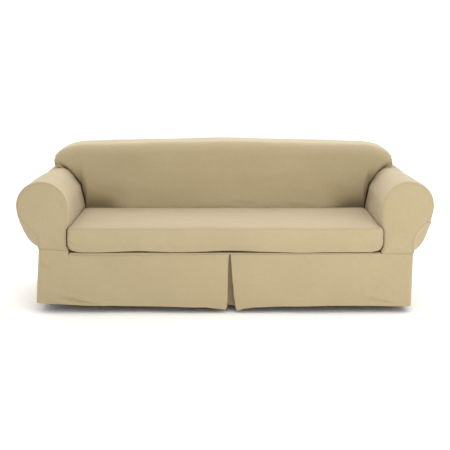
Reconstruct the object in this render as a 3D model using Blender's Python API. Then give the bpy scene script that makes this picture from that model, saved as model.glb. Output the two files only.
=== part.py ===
"""A two-piece fitted slipcover for a roll-arm sofa with one bench cushion.

Every piece is one cut of 2 mm cotton duck, built from the outer face that shows, with the
cloth's thickness behind it. The sofa is left out, so both covers are hollow and open below.
X is to the right, Y to the back, Z up from the lowest point of the hem. Metres.
"""
from math import acos, atan2, cos, hypot, pi, radians, sin, sqrt

import bmesh
import bpy
from mathutils import Vector

CLOTH = 0.002            # thickness of the cloth
SEAM_GAP = 0.0012        # between two pieces that are sewn edge to edge
CONTACT_GAP = 0.0036     # between a piece and the piece that its edge lies against
EDGE_ROUND = 0.006       # radius at which the arm turns into its facing
REAR_ROUND = 0.012       # radius at which the top, ears and arms turn into the rear panel

FRONT_Y = -0.452         # plane of the arm facings' seams
REAR_Y = 0.455           # plane of the rear panel

# Arms. The roll runs along Y and is slimmer on top at the back.
ROLL_X = 0.941
ROLL_Z = 0.548
ROLL_R = 0.131
ROLL_TAPER = 0.0163      # the roll's top and outer side come in by this
TAPER_RUN = 0.64         # over this length behind the facing
ROLL_SWELL = 0.0085      # the cloth stands this far off the roll on its outer side
HANG_PULL = (0.0, -0.22)         # the outside arm leaves the roll straight down
FOOT_PULL = (-0.27, -0.129)      # and comes in to the foot at this slant
FACING_UNDER = radians(-48)      # where the facing leaves its round head for the neck
FOOT_X = {"left": 0.968, "right": 0.979}   # outer face of the arm's foot
NECK_Z = 0.370           # the facing's neck is upright below this height
KEYHOLE_DEPTH = 0.060    # behind the front, the outside arm hangs free of the facing's shape
ARM_SEAM = 2.35          # where the roll's cloth ends, on the arm's outline

# The skirt's seam and the hem. The left arm's front is hitched up: the seam steps up at the
# arm's inner edge and then slopes up to the corner.
SEAM_Z = 0.2985
HITCH_FROM_X = 0.8090
HITCH_TO_X = 0.8105
HITCH_STEP = 0.0225
HITCH_SLOPE = 0.0085
HEM_Z = 0.026
SKIRT_DROP_OUT = 0.011   # the hem stands this far proud of the seam
SKIRT_CORNER = 0.028
SKIRT_WRAP = 0.062       # the front skirt turns this far round each corner
SKIRT_FLARE = {"left": 0.019, "right": -0.005}   # how far the sides stand out at the hem

# Back
INSIDE_FOOT_Y = 0.150    # inside back at the seat
INSIDE_LEAN = 0.17       # metres back for each metre up, above the seat
LEAN_FROM_Z = 0.44
INSIDE_FOOT_Z = 0.310
CROWN_Z = 0.808          # top of the back at its middle
CROWN_DROP = 0.0175      # how much lower the crown is where its corners begin
CROWN_CURVE = 1.2        # power of that fall
CORNER_X = 0.760         # where the top turns into the ears' round corners
CORNER_POWER = 0.87      # squarer than an ellipse, whose power is 1
EAR_Z = 0.697            # height of the ears' tips
EAR_LOBE = 0.035         # radius under the tips
EAR_REACH = {"left": 0.985, "right": 0.967}   # of the ear's tip, from the middle
UNDER_TIP = radians(100) # place on the roll that the tips stand over
TOP_EDGE = 0.058         # radius of the front edge along the top
EAR_EDGE = 0.046         # and round the ears
BRIDGE = 0.10            # the cloth bridges the corner between arm and back by this
BRIDGE_REACH = 0.14

# Seat
ARM_IN_X = ROLL_X - ROLL_R    # inner face of the arm
DECK_Z = 0.307
CUSHION_X = ARM_IN_X - 0.002
CUSHION_FRONT_Y = -0.456
CUSHION_REAR_Y = INSIDE_FOOT_Y - 0.004
CUSHION_SEAM_Z = 0.4375
CUSHION_BASE_Z = 0.3100
CUSHION_CROWN = 0.011
CUSHION_CORNER = 0.034
BOXING_SWELL = 0.009
BOXING_ROUND = 0.010     # radius at the boxing's top and bottom edges
TURN_UNDER = 0.034       # width of the drawn-in hem under the cushion

# Divisions that neighbours share, so that their edges run side by side
WALL_STEPS = 3
ROLL_STEPS = 12
HANG_STEPS = 8

SIDES = ("left", "right")
SIGN = {"left": -1.0, "right": 1.0}

# The inverted pleat. down: share of the skirt's drop; left, right: edges of its two flaps
PLEAT = (
    # down, left, right
    (0.00, 0.0235, 0.0280),
    (0.08, 0.0180, 0.0300),
    (0.35, 0.0160, 0.0350),
    (0.70, 0.0150, 0.0440),
    (0.94, 0.0110, 0.0545),
    (1.00, 0.0030, 0.0610),
)
PLEAT_DEEP = 0.075       # each flap is turned back this far
PLEAT_TUCK = 0.9         # the layers behind hang higher by this share of their depth
FOLD_REACH = 0.03        # a fold's edge is shaped over this length

RIPPLE = 0.003           # how far the hanging skirt's ripples stand out at the hem

# Height of the front hem above its lowest tip, by place along the front
FRONT_HEM = (
    # x, height
    (-0.985, 0.041),
    (-0.900, 0.036),
    (-0.650, 0.027),
    (-0.390, 0.023),
    (-0.100, 0.019),
    (-0.045, 0.012),
    (0.003, 0.007),
    (0.061, 0.000),
    (0.105, 0.011),
    (0.160, 0.018),
    (0.300, 0.023),
    (0.550, 0.027),
    (0.970, 0.024),
)


# ---------------------------------------------------------------- numbers and curves

def lerp(a, b, t):
    return a + (b - a) * t


def smooth(t):
    """0 to 1 with a soft start and end, for t from 0 to 1."""
    t = min(max(t, 0.0), 1.0)
    return t * t * (3.0 - 2.0 * t)


def hump(value, at, width):
    """1 at one place, fading to 0 within about twice the width."""
    return 2.718281828 ** (-(((value - at) / width) ** 2))


def steps(start, end, count):
    """count + 1 even values from start to end."""
    return [lerp(start, end, i / count) for i in range(count + 1)]


def read_table(table, key, column):
    """A table's column at a key between its rows, joined by smooth steps."""
    if key <= table[0][0]:
        return table[0][column]
    for low, high in zip(table, table[1:]):
        if key <= high[0]:
            return lerp(low[column], high[column], smooth((key - low[0]) / (high[0] - low[0])))
    return table[-1][column]


def hermite(start, end, start_pull, end_pull, t):
    """A curve in X and Z that leaves start and reaches end along the two pulls."""
    a = 2 * t ** 3 - 3 * t ** 2 + 1
    b = t ** 3 - 2 * t ** 2 + t
    c = 3 * t ** 2 - 2 * t ** 3
    d = t ** 3 - t ** 2
    return tuple(a * start[i] + b * start_pull[i] + c * end[i] + d * end_pull[i] for i in (0, 1))


def round_end(radius, count):
    """(distance from the end, inset) down a quarter circle, from the end inwards."""
    turns = steps(0.0, pi / 2, count)
    return [(radius * (1 - cos(a)), radius * (1 - sin(a))) for a in turns]


def stations(start_y, end_y, start_round, end_round, count, turns=3):
    """(y, inset) along a piece whose two ends are rounded over."""
    front = [(start_y + run, inset) for run, inset in round_end(start_round, turns)]
    rear = [(end_y - run, inset) for run, inset in round_end(end_round, turns)]
    middle = steps(start_y + start_round, end_y - end_round, count)[1:-1]
    return front + [(y, 0.0) for y in middle] + rear[::-1]


# ---------------------------------------------------------------- cloth

def material(name, colour, roughness=0.9):
    made = bpy.data.materials.new(name)
    made.use_nodes = True
    shader = made.node_tree.nodes["Principled BSDF"]
    shader.inputs["Base Color"].default_value = (*colour, 1.0)
    shader.inputs["Roughness"].default_value = roughness
    shader.inputs["Metallic"].default_value = 0.0
    return made


def cloth(name, points, faces, finish):
    """A sheet of cloth behind the outer face given by its points and faces."""
    mesh = bpy.data.meshes.new(name)
    mesh.from_pydata(points, [], faces)
    shaped = bmesh.new()
    shaped.from_mesh(mesh)
    bmesh.ops.remove_doubles(shaped, verts=shaped.verts, dist=0.00005)
    bmesh.ops.dissolve_degenerate(shaped, edges=shaped.edges, dist=0.00005)
    shaped.to_mesh(mesh)
    shaped.free()
    mesh.materials.append(finish)
    mesh.shade_smooth()
    piece = bpy.data.objects.new(name, mesh)
    bpy.context.scene.collection.objects.link(piece)
    wall = piece.modifiers.new("thickness", "SOLIDIFY")
    wall.thickness = CLOTH
    wall.offset = -1.0
    return piece


def grid(name, rows, finish, flip=False, loop=False):
    """Cloth through rows of points. Its outer face is on the left of a row's direction, seen
    from the next row, unless it is flipped; loop joins each row's end to its start."""
    wide = len(rows[0])
    points = [point for row in rows for point in row]
    faces = []
    for r in range(len(rows) - 1):
        for c in range(wide if loop else wide - 1):
            here, beside = r * wide + c, r * wide + (c + 1) % wide
            face = (here, beside, beside + wide, here + wide)
            faces.append(face[::-1] if flip else face)
    return cloth(name, points, faces, finish)


# ---------------------------------------------------------------- the shape under the pieces

def seam_z(x, y):
    """Height of the seam that the skirt hangs from; it is hitched up at the left arm's front."""
    front = ((REAR_Y - y) / (REAR_Y - FRONT_Y)) ** 2
    wave = 0.0045 * smooth((x + 0.1) / 1.0) - 0.0045 * hump(x, -0.6, 0.25)
    step = min(max((-x - HITCH_FROM_X) / (HITCH_TO_X - HITCH_FROM_X), 0.0), 1.0)
    slope = max(0.0, (-x - HITCH_TO_X) / (FOOT_X["left"] - HITCH_TO_X))
    return SEAM_Z + front * (wave + HITCH_STEP * step + HITCH_SLOPE * slope)


def keyhole(y):
    """1 at the facing, where the arm's outside follows its keyhole shape, 0 further back."""
    return 1.0 - smooth((y - FRONT_Y) / KEYHOLE_DEPTH)


def roll_radius(y, angle):
    """The roll's radius; angle is 0 at its outer side, a quarter turn at its top."""
    taper = ROLL_TAPER * min((y - FRONT_Y) / TAPER_RUN, 1.0) * smooth((pi - angle) / radians(70))
    swell = ROLL_SWELL * max(0.0, cos(angle)) ** 2 * (1.0 - keyhole(y))
    return ROLL_R - taper + swell


def on_roll(radius, angle):
    return ROLL_X + radius * cos(angle), ROLL_Z + radius * sin(angle)


def facing_neck(t, foot):
    """The facing's outer edge below the roll: its head, the hollow under it, the upright."""
    head, hollow, pull = 0.45, 0.78, 0.08
    if t < head:
        return on_roll(ROLL_R, FACING_UNDER * t / head)
    neck = (foot[0], NECK_Z)
    if t < hollow:
        leave = (sin(FACING_UNDER) * pull, -cos(FACING_UNDER) * pull)
        share = (t - head) / (hollow - head)
        return hermite(on_roll(ROLL_R, FACING_UNDER), neck, leave, (0, -pull), share)
    return foot[0], lerp(NECK_Z, foot[1], (t - hollow) / (1 - hollow))


def arm_outline(along, y, side):
    """(x, z) of the arm's outside, for the right arm: along runs 0 to 1 up the inner wall,
    1 to 2 over the roll and 2 to 3 down the outside."""
    if along <= 1:
        seam = seam_z(SIGN[side] * (ARM_IN_X + EDGE_ROUND), y) + SEAM_GAP
        foot = lerp(seam, DECK_Z - CLOTH, smooth((y - FRONT_Y - EDGE_ROUND) / 0.03))
        return ARM_IN_X, lerp(foot, ROLL_Z, along)
    if along <= 2:
        angle = pi * (2 - along)
        return on_roll(roll_radius(y, angle), angle)
    foot = (FOOT_X[side], seam_z(SIGN[side] * FOOT_X[side], y) + SEAM_GAP)
    hang = hermite(on_roll(roll_radius(y, 0.0), 0.0), foot, HANG_PULL, FOOT_PULL, along - 2)
    neck = facing_neck(along - 2, foot)
    return lerp(hang[0], neck[0], keyhole(y)), lerp(hang[1], neck[1], keyhole(y))


def arm_point(along, y, inset, side):
    """A point on the arm, moved inwards from its outline by the inset; level at the foot."""
    tick, top = 0.002, 1.0 if along <= 1 else 3.0
    x, z = arm_outline(along, y, side)
    before = arm_outline(max(along - tick, 0.0), y, side)
    after = arm_outline(min(along + tick, top), y, side)
    run, rise = after[0] - before[0], after[1] - before[1]
    if along >= 3.0:
        run, rise = 0.0, -1.0
    length = hypot(run, rise)
    return Vector((SIGN[side] * (x + inset * rise / length), y, z - inset * run / length))


def inside_y(z):
    """The inside back's plane: upright behind the cushion, leaning back above it."""
    return INSIDE_FOOT_Y + INSIDE_LEAN * max(0.0, z - LEAN_FROM_Z)


def ear_droop(side):
    """The angle that the lobe under an ear turns through before it meets the roll."""
    away_x, away_z = EAR_REACH[side] - EAR_LOBE - ROLL_X, EAR_Z - ROLL_Z
    apart, touching = hypot(away_x, away_z), ROLL_R - ROLL_TAPER + CONTACT_GAP
    corner = acos((apart ** 2 + EAR_LOBE ** 2 - touching ** 2) / (2 * apart * EAR_LOBE))
    return -atan2(-away_z, -away_x) - corner


def ear_foot_x(side):
    return EAR_REACH[side] - EAR_LOBE + EAR_LOBE * cos(ear_droop(side))


def arm_clear(side):
    """The place on the arm's outline where its roll comes out from under the ear."""
    angle = pi / 2 - (ear_foot_x(side) + 0.010 - ROLL_X) / (ROLL_R - ROLL_TAPER)
    return 2 - angle / pi


def back_outline(along, side, inset=0.0):
    """(x, z) of the back's front view, right half: 0 to 1 along the top from the middle,
    1 to 2 round the corner and 2 to 3 under the ear's tip."""
    reach, droop = EAR_REACH[side], ear_droop(side)
    if along <= 1:
        x = CORNER_X * along
        return x, CROWN_Z - CROWN_DROP * (x / CORNER_X) ** CROWN_CURVE - inset
    if along <= 2:
        angle = min((along - 1) * pi / 2, pi / 2 - 0.00001)
        wide, high = reach - CORNER_X - inset, CROWN_Z - CROWN_DROP - EAR_Z - inset
        return (CORNER_X + wide * sin(angle) ** CORNER_POWER,
                EAR_Z + high * cos(angle) ** CORNER_POWER)
    angle = -droop * (along - 2)
    small = EAR_LOBE - inset
    return reach - EAR_LOBE + small * cos(angle), EAR_Z + small * sin(angle)


def back_foot(along, side):
    """(x, z) of the inside back's lower edge, right half, under the outline's same place: out
    along the seat, up the arm's inner wall, and over its roll to under the ear."""
    seat, wall, tip = 0.84, 1.15, 2.0
    inner = ARM_IN_X - CONTACT_GAP
    if along <= seat:
        return inner * along / seat, INSIDE_FOOT_Z
    if along <= wall:
        return inner, lerp(INSIDE_FOOT_Z, ROLL_Z, (along - seat) / (wall - seat))
    end_x, end_z = back_outline(3.0, side)
    if along >= 3:
        return end_x, end_z
    if along <= tip:
        angle = lerp(pi, UNDER_TIP, (along - wall) / (tip - wall))
    else:
        angle = lerp(UNDER_TIP, atan2(end_z - ROLL_Z, end_x - ROLL_X), along - tip)
    rest_y = inside_y(ROLL_Z + ROLL_R * sin(angle)) - bridge(along)
    return on_roll(roll_radius(rest_y, angle) + CONTACT_GAP, angle)


def bridge(along):
    """How far the inside back's lower edge comes forward along the arm, bridging the corner."""
    cushion, clear = 1.03, 2.3
    share = min(max((along - cushion) / (clear - cushion), 0.0), 1.0)
    return BRIDGE * sin(pi * share)


def back_alongs():
    """The places round the back's outline where its columns stand."""
    seat, wall = steps(0.0, 0.84, 7), steps(0.84, 1.15, 3)
    corner, lobe = steps(1.15, 2.0, 7), steps(2.0, 3.0, 2)
    return seat + wall[1:] + corner[1:] + lobe[1:]


# ---------------------------------------------------------------- arms

def hang_alongs():
    """The outside arm's divisions, above its seam and below it."""
    divisions = steps(2.0, 3.0, HANG_STEPS)
    above = [along for along in divisions[1:] if along < ARM_SEAM] + [ARM_SEAM]
    below = [ARM_SEAM + 0.006] + [along for along in divisions if along > ARM_SEAM + 0.01]
    return above, below


def arm_top(side, finish):
    """Inside arm and roll in one. Its inner part stops at the inside back."""
    rows = []
    for along in steps(0.0, 1.0, WALL_STEPS) + steps(1.0, 2.0, ROLL_STEPS)[1:] + hang_alongs()[0]:
        height = arm_outline(along, INSIDE_FOOT_Y, side)[1]
        to_rear = smooth(1 + (along - arm_clear(side)) / 0.25)
        end_y = lerp(inside_y(height) - CONTACT_GAP, REAR_Y, to_rear)
        end_round = REAR_ROUND if to_rear > 0.99 else 0.0
        row = stations(FRONT_Y, end_y, EDGE_ROUND, end_round, 7)
        rows.append([arm_point(along, y, inset, side) for y, inset in row])
    return grid("arm_top_" + side, rows, finish, flip=side == "right")


def outside_arm(side, finish):
    """The panel that hangs from under the roll to the skirt's seam."""
    rows = []
    for along in hang_alongs()[1]:
        row = stations(FRONT_Y, REAR_Y, EDGE_ROUND, REAR_ROUND, 10)
        rows.append([arm_point(along, y, inset, side) for y, inset in row])
    return grid("outside_arm_" + side, rows, finish, flip=side == "right")


def arm_front(side, finish):
    """The flat keyhole facing."""
    inset = EDGE_ROUND + SEAM_GAP
    alongs = steps(0.0, 1.0, WALL_STEPS)[:-1] + steps(1.0, 2.0, ROLL_STEPS)[:-1]
    alongs += steps(2.0, 3.0, HANG_STEPS)
    edge = [arm_point(along, FRONT_Y, inset, side) for along in alongs]
    foot_in, foot_out = edge[0].copy(), edge[-1].copy()
    edge += [foot_out.lerp(foot_in, t) for t in steps(0.0, 1.0, 3)[1:-1]]
    if side == "right":
        edge.reverse()
    return cloth("arm_front_" + side, edge, [tuple(range(len(edge)))], finish)


# ---------------------------------------------------------------- back

def inside_back(finish):
    """Front of the back, its crown and both ears, as far as the seam to the rear panel."""
    halves = {}
    for side in SIDES:
        sign = SIGN[side]
        columns = []
        for along in back_alongs():
            top, foot = back_outline(along, side), back_foot(along, side)
            ear = smooth(along - 1)
            length = hypot(top[0] - foot[0], top[1] - foot[1]) + 0.00001
            radius = min(lerp(TOP_EDGE, EAR_EDGE, ear), length * 0.75)
            column = [(share * (length - radius) / length, 0.0) for share in steps(0.0, 1.0, 6)[:-1]]
            for angle in steps(0.0, pi / 2, 4):
                column.append((1 - radius * (1 - sin(angle)) / length, radius * (1 - cos(angle))))
            points = []
            for reach, recede in column:
                x, z = lerp(foot[0], top[0], reach), lerp(foot[1], top[1], reach)
                forward = bridge(along) * (1 - smooth(reach * length / BRIDGE_REACH))
                points.append(Vector((sign * x, inside_y(z) + recede - forward, z)))
            edge_y = points[-1].y
            for y, inset in stations(edge_y, REAR_Y, 0.0, REAR_ROUND, 3)[4:]:
                x, z = back_outline(along, side, inset)
                points.append(Vector((sign * x, y, z)))
            columns.append(points)
        halves[side] = columns
    rows = halves["left"][:0:-1] + halves["right"]
    return grid("inside_back", rows, finish, flip=True)


def rear_outline(side):
    """The rear panel's edge, from the middle of the top down to the foot of one arm."""
    inset = REAR_ROUND + SEAM_GAP
    sign = SIGN[side]
    edge = []
    under_ear = 3.12
    for along in back_alongs()[:-1] + [under_ear]:
        x, z = back_outline(along, side, inset)
        edge.append(Vector((sign * x, REAR_Y, z)))
    clear = arm_clear(side)
    edge.append(arm_point(clear, REAR_Y, inset + CONTACT_GAP, side))
    roll = [along for along in steps(1.0, 2.0, ROLL_STEPS) if along > clear + 0.01]
    for along in roll + steps(2.0, 3.0, HANG_STEPS)[1:]:
        edge.append(arm_point(along, REAR_Y, inset, side))
    return edge


def outside_back(finish):
    """The flat rear panel over the back and both arms' rear ends."""
    left, right = rear_outline("left"), rear_outline("right")
    edge = left[::-1] + right[1:]
    return cloth("outside_back", edge, [tuple(range(len(edge)))], finish)


# ---------------------------------------------------------------- seat

def deck(finish):
    """The cloth under the cushion, with its narrow drop to the skirt's seam in front."""
    half = ARM_IN_X - CONTACT_GAP
    rows = []
    for x in steps(-half, half, 22):
        seam = seam_z(x, FRONT_Y) + SEAM_GAP
        row = []
        for run, drop in round_end(EDGE_ROUND, 3):
            row.append(Vector((x, FRONT_Y + run, lerp(DECK_Z, seam, drop / EDGE_ROUND))))
        for y in steps(FRONT_Y + EDGE_ROUND, INSIDE_FOOT_Y - CONTACT_GAP, 4)[1:]:
            row.append(Vector((x, y, DECK_Z)))
        rows.append(row)
    return grid("deck", rows, finish, flip=True)


def cushion_loop(inset, front_swell=0.0):
    """The cushion's plan, as points with the share of the swell that each takes."""
    radius = CUSHION_CORNER - inset
    right, front, rear = CUSHION_X - inset, CUSHION_FRONT_Y + inset, CUSHION_REAR_Y - inset
    corners = (
        # middle of the corner's arc, first angle
        (right - radius, front + radius, -pi / 2),
        (right - radius, rear - radius, 0.0),
        (-right + radius, rear - radius, pi / 2),
        (-right + radius, front + radius, pi),
    )
    runs = (5, 14, 5, 14)
    loop = []
    for (x, y, angle), run, following in zip(corners, runs, corners[1:] + corners[:1]):
        arc = [(x + radius * cos(a), y + radius * sin(a)) for a in steps(angle, angle + pi / 2, 4)]
        next_start = (following[0] + radius * cos(following[2]),
                      following[1] + radius * sin(following[2]))
        loop += arc
        loop += [(lerp(arc[-1][0], next_start[0], t), lerp(arc[-1][1], next_start[1], t))
                 for t in steps(0.0, 1.0, run)[1:-1]]
    return [(x, y - front_swell * smooth((-0.38 - y) / 0.05)) for x, y in loop]


def cushion_base_z(x, y):
    """The cushion cover's lower edge lifts off the deck at the middle and the front corners."""
    front = smooth((-0.30 - y) / 0.12)
    lift = 0.008 * hump(x, 0.03, 0.16) + 0.007 * smooth((abs(x) - 0.745) / 0.05)
    return CUSHION_BASE_Z + front * lift


def cushion_boxing(finish):
    """The strip round the cushion: rolled in at the top seam, turned under at the bottom."""
    rows = []
    for run, inset in round_end(BOXING_ROUND, 3):
        loop = cushion_loop(inset)
        rows.append([Vector((x, y, CUSHION_SEAM_Z - run)) for x, y in loop])
    for share in steps(0.0, 1.0, 4)[1:-1]:
        loop = cushion_loop(0.0, BOXING_SWELL * sin(pi * share))
        top = CUSHION_SEAM_Z - BOXING_ROUND
        rows.append([Vector((x, y, lerp(top, cushion_base_z(x, y) + BOXING_ROUND, share)))
                     for x, y in loop])
    for run, inset in round_end(BOXING_ROUND, 3)[::-1]:
        loop = cushion_loop(inset)
        rows.append([Vector((x, y, cushion_base_z(x, y) + run)) for x, y in loop])
    loop = cushion_loop(TURN_UNDER - 0.002)
    rows.append([Vector((x, y, cushion_base_z(x, y))) for x, y in loop])
    return grid("cushion_boxing", rows, finish, flip=True, loop=True)


def cushion_top(finish):
    """The crowned top panel, inside the boxing's rolled edge."""
    inset = BOXING_ROUND + SEAM_GAP
    radius = CUSHION_CORNER - inset
    half, front, rear = CUSHION_X - inset, CUSHION_FRONT_Y + inset, CUSHION_REAR_Y - inset
    ends = [half - radius * (1 - sin(a)) for a in steps(0.0, pi / 2, 3)]
    middle = steps(-half + radius, half - radius, 18)[1:-1]
    rows = []
    for x in [-x for x in ends[::-1]] + middle + ends:
        into = max(0.0, abs(x) - (half - radius))
        cut = radius - sqrt(max(0.0, radius ** 2 - into ** 2))
        row = []
        for share in (0.0, 0.035, 0.10, 0.22, 0.38, 0.56, 0.74, 0.88, 0.96, 1.0):
            y = lerp(front + cut, rear - cut, share)
            shoulder = min(half - abs(x), y - front, rear - y)
            rise = 0.6 * sqrt(smooth(shoulder / 0.07)) + 0.4 * smooth(shoulder / 0.28)
            row.append(Vector((x, y, CUSHION_SEAM_Z + CUSHION_CROWN * rise)))
        rows.append(row)
    return grid("cushion_top", rows, finish, flip=True)


# ---------------------------------------------------------------- skirt

def skirt_half(down, side):
    return FOOT_X[side] + SKIRT_FLARE[side] * down


def front_plan(down):
    """The front skirt's plan at one height, as (x, y), from the left wrap to the right one."""
    front = FRONT_Y - SKIRT_DROP_OUT * down
    left_edge, right_edge = read_table(PLEAT, down, 1), read_table(PLEAT, down, 2)
    turn, under = 0.009 + 0.006 * down, 0.015 + 0.012 * down
    plan = []
    left, right = -skirt_half(down, "left"), skirt_half(down, "right")
    plan.append((left, FRONT_Y + SKIRT_WRAP))
    plan.append((left, (FRONT_Y + SKIRT_WRAP + front + SKIRT_CORNER) / 2))
    for a in steps(0.0, pi / 2, 4):
        plan.append((left + SKIRT_CORNER * (1 - cos(a)), front + SKIRT_CORNER * (1 - sin(a))))
    plan += [(x, front) for x in (-0.870, -HITCH_TO_X, -HITCH_FROM_X)]
    plan += [(x, front) for x in steps(-0.75, left_edge - FOLD_REACH, 9)]
    plan += folded_edge(left_edge, front, front + turn, 1.0)
    plan += folded_edge(left_edge - PLEAT_DEEP, front + turn, front + under, -1.0)
    plan += [(x, front + under) for x in steps(left_edge - FOLD_REACH, right_edge + FOLD_REACH, 3)]
    plan += folded_edge(right_edge + PLEAT_DEEP, front + under, front + turn, 1.0)
    plan += folded_edge(right_edge, front + turn, front, -1.0)
    plan += [(x, front) for x in steps(right_edge + FOLD_REACH, right - SKIRT_CORNER, 12)[:-1]]
    for a in steps(0.0, pi / 2, 4):
        plan.append((right - SKIRT_CORNER * (1 - sin(a)), front + SKIRT_CORNER * (1 - cos(a))))
    plan.append((right, (FRONT_Y + SKIRT_WRAP + front + SKIRT_CORNER) / 2))
    plan.append((right, FRONT_Y + SKIRT_WRAP))
    return plan


def folded_edge(tip, from_y, to_y, way):
    """A fold in plan: it reaches its tip along X, and goes back the way it came."""
    middle, radius = (from_y + to_y) / 2, abs(to_y - from_y) / 2
    turn = 1.0 if to_y > from_y else -1.0
    return [(tip - way * radius * (1 - cos(a)), middle + turn * radius * sin(a))
            for a in steps(-pi / 2, pi / 2, 4)]


def skirt_front(finish):
    """The front skirt with its one inverted pleat, round both corners."""
    rows = []
    for down in (0.0, 0.08, 0.30, 0.55, 0.80, 0.94, 1.0):
        row = []
        for x, y in front_plan(down):
            behind = max(0.0, y - FRONT_Y + 0.003) * hump(x, 0.03, 0.1)
            hem = read_table(FRONT_HEM, x, 1) + PLEAT_TUCK * behind
            ripple = RIPPLE * down * sin(x * 11.0) * smooth((0.90 - abs(x)) / 0.1)
            seam = seam_z(x, y + SKIRT_DROP_OUT * down)
            row.append(Vector((x, y + ripple, lerp(seam, hem, down))))
        rows.append(row)
    return grid("skirt_front", rows, finish, flip=True)


def skirt_side(side, finish):
    """The side skirt, turned round the rear corner."""
    start, foot = FRONT_Y + SKIRT_WRAP + SEAM_GAP, SIGN[side] * FOOT_X[side]
    front_hem = read_table(FRONT_HEM, foot, 1)
    rows = []
    for down in steps(0.0, 1.0, 5):
        out = skirt_half(down, side)
        rear = REAR_Y + SKIRT_DROP_OUT * down
        row = []
        for y, inset in stations(start, rear, 0.0, REAR_ROUND, 8)[3:]:
            hem = lerp(front_hem, lerp(front_hem, HEM_Z, 0.5), smooth((y - start) / 0.3))
            ripple = RIPPLE * down * sin(y * 13.0) * smooth((y - start) / 0.1)
            ripple *= smooth((REAR_Y - y) / 0.1)
            row.append(Vector((SIGN[side] * (out - inset + ripple), y,
                               lerp(seam_z(foot, y), hem, down))))
        rows.append(row)
    return grid("skirt_" + side, rows, finish, flip=side == "right")


def skirt_back(finish):
    """The rear skirt, flat under the rear panel."""
    rows = []
    for down in steps(0.0, 1.0, 5):
        left = -skirt_half(down, "left") + REAR_ROUND + SEAM_GAP
        right = skirt_half(down, "right") - REAR_ROUND - SEAM_GAP
        row = []
        for x in steps(left, right, 16):
            ripple = RIPPLE * down * sin(x * 9.0) * smooth((0.9 - abs(x)) / 0.15)
            hem = HEM_Z + 0.004 * sin(x * 5.0)
            row.append(Vector((x, REAR_Y + SKIRT_DROP_OUT * down + ripple,
                               lerp(seam_z(x, REAR_Y), hem, down))))
        rows.append(row)
    return grid("skirt_back", rows, finish)


# ---------------------------------------------------------------- the whole cover

def main():
    for old in list(bpy.data.objects):
        bpy.data.objects.remove(old, do_unlink=True)
    body = material("cotton_duck", (0.52, 0.43, 0.27))
    seat = material("cotton_duck_seat", (0.58, 0.48, 0.32))
    for side in SIDES:
        arm_top(side, body)
        outside_arm(side, body)
        arm_front(side, body)
        skirt_side(side, body)
    inside_back(body)
    outside_back(body)
    deck(body)
    skirt_front(body)
    skirt_back(body)
    cushion_top(seat)
    cushion_boxing(seat)


main()
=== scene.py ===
"""The looks of a two-piece fitted slipcover for a roll-arm sofa, dressed over its solids.

Each piece of cotton duck is laid again over the form that its solid follows, finely enough to
take its folds, puckers and hems. Metres, X to the right, Y to the back, Z up from the hem.
"""

from math import acos, atan2, cos, hypot, pi, radians, sin, sqrt

import bmesh
import bpy
import numpy as np
from bpy.props import FloatProperty, PointerProperty, StringProperty
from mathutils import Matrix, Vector, noise


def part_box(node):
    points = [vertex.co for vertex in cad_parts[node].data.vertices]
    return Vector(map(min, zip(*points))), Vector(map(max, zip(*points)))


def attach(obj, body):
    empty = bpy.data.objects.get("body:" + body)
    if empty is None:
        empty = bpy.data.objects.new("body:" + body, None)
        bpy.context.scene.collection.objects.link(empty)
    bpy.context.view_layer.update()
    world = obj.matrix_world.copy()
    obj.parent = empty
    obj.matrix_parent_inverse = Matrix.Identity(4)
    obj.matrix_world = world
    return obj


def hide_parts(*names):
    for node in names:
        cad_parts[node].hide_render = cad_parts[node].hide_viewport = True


bl_info = {
    "name": "Fitted sofa slipcover",
    "version": (1, 0, 0),
    "blender": (4, 5, 0),
    "location": "3D View > Sidebar > Slipcover",
    "description": "Lays the cotton duck of a fitted roll-arm slipcover over its solids",
    "category": "Object",
}

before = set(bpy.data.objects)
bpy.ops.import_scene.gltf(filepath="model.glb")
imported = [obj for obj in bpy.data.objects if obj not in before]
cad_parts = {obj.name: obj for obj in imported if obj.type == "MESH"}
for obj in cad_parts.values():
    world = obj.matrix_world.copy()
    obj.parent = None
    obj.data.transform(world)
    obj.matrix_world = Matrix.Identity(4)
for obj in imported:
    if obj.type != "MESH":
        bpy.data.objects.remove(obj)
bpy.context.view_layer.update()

# ---------------- sizes, in metres, and places along an outline, from 0 to 3

SEAM_GAP = 0.0005        # between pieces that are sewn together
CONTACT_GAP = 0.0036     # between pieces that lie against each other
EDGE_ROUND = 0.006       # where the arms' cloth and the deck turn to the front
REAR_ROUND = 0.012       # where the cover turns to the rear
FRONT_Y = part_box("arm_top_right")[0][1]
REAR_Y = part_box("outside_back")[1][1]

# The arms: a roll over an upright inner wall, and a keyhole shaped front
ROLL_X, ROLL_Z, ROLL_R = 0.941, 0.548, 0.131
ROLL_TAPER, TAPER_RUN, ROLL_SWELL = 0.0163, 0.64, 0.0085
ARM_IN_X, ARM_SEAM = ROLL_X - ROLL_R, 2.35
HANG_PULL, FOOT_PULL, FOOT_X = (0.0, -0.22), (-0.27, -0.129), {"left": 0.968, "right": 0.979}
NECK_Z, KEYHOLE_DEPTH, KEYHOLE_TURN = 0.370, 0.060, radians(-48)
FACING_CROWN, HEART, HEART_Z = 0.005, 0.32, 0.36
SHOULDER, SHOULDER_FOOT_Z = 0.032, 0.425     # the inner wall leans this far out at the rear
PRESS, PRESS_FROM_Z, PRESS_TO_Z, PRESS_EASE = 0.012, 0.311, 0.422, 0.036  # by the cushion

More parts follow.
